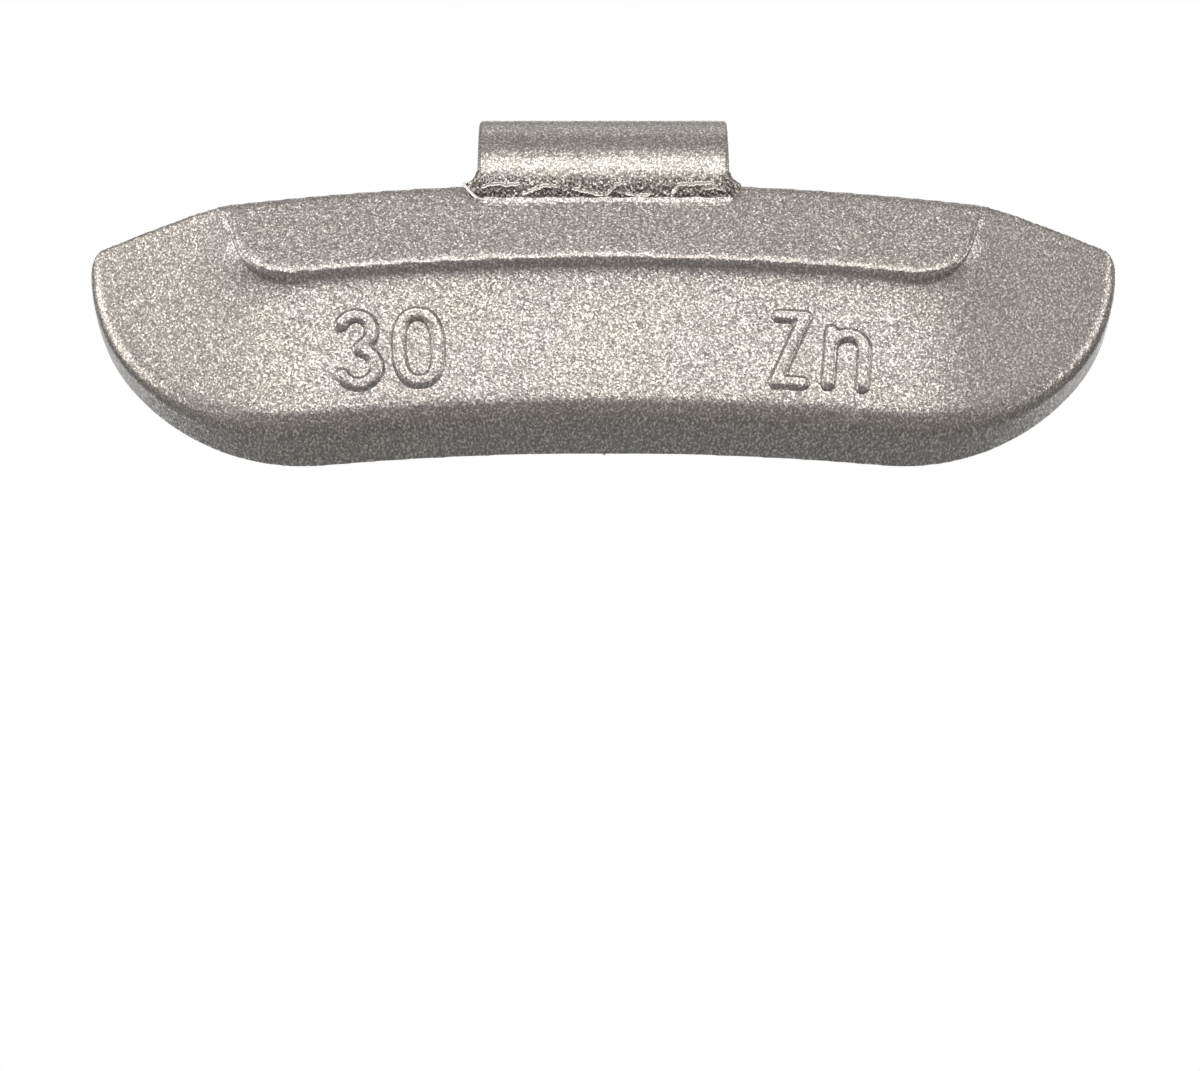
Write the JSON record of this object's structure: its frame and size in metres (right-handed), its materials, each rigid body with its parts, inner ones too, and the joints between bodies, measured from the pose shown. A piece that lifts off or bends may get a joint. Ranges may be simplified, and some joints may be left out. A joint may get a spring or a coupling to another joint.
{
  "type": "wheel balance weight",
  "caption": "Clip-on wheel balance weight: a curved, stepped zinc casting on a spring-steel hook clip that grips the edge of a rim flange.",
  "frame": {"origin": "axis of the clip's bend at the middle of the clip's width, where the rolled edge of the rim flange sits", "axes": "+X along the rim, +Y towards the wheel (the marked outer face looks along -Y), +Z radially outwards over the clip"},
  "size_m": [0.0598, 0.011, 0.0206],
  "materials": {
    "coated_zinc": "silver metallic coat with a fine sparkle over die-cast zinc",
    "coated_steel": "the same silver metallic coat over stamped spring steel"
  },
  "bodies": {
    "root": {"weight_body": "coated_zinc", "rim_clip": "coated_steel"}
  },
  "joints": []
}
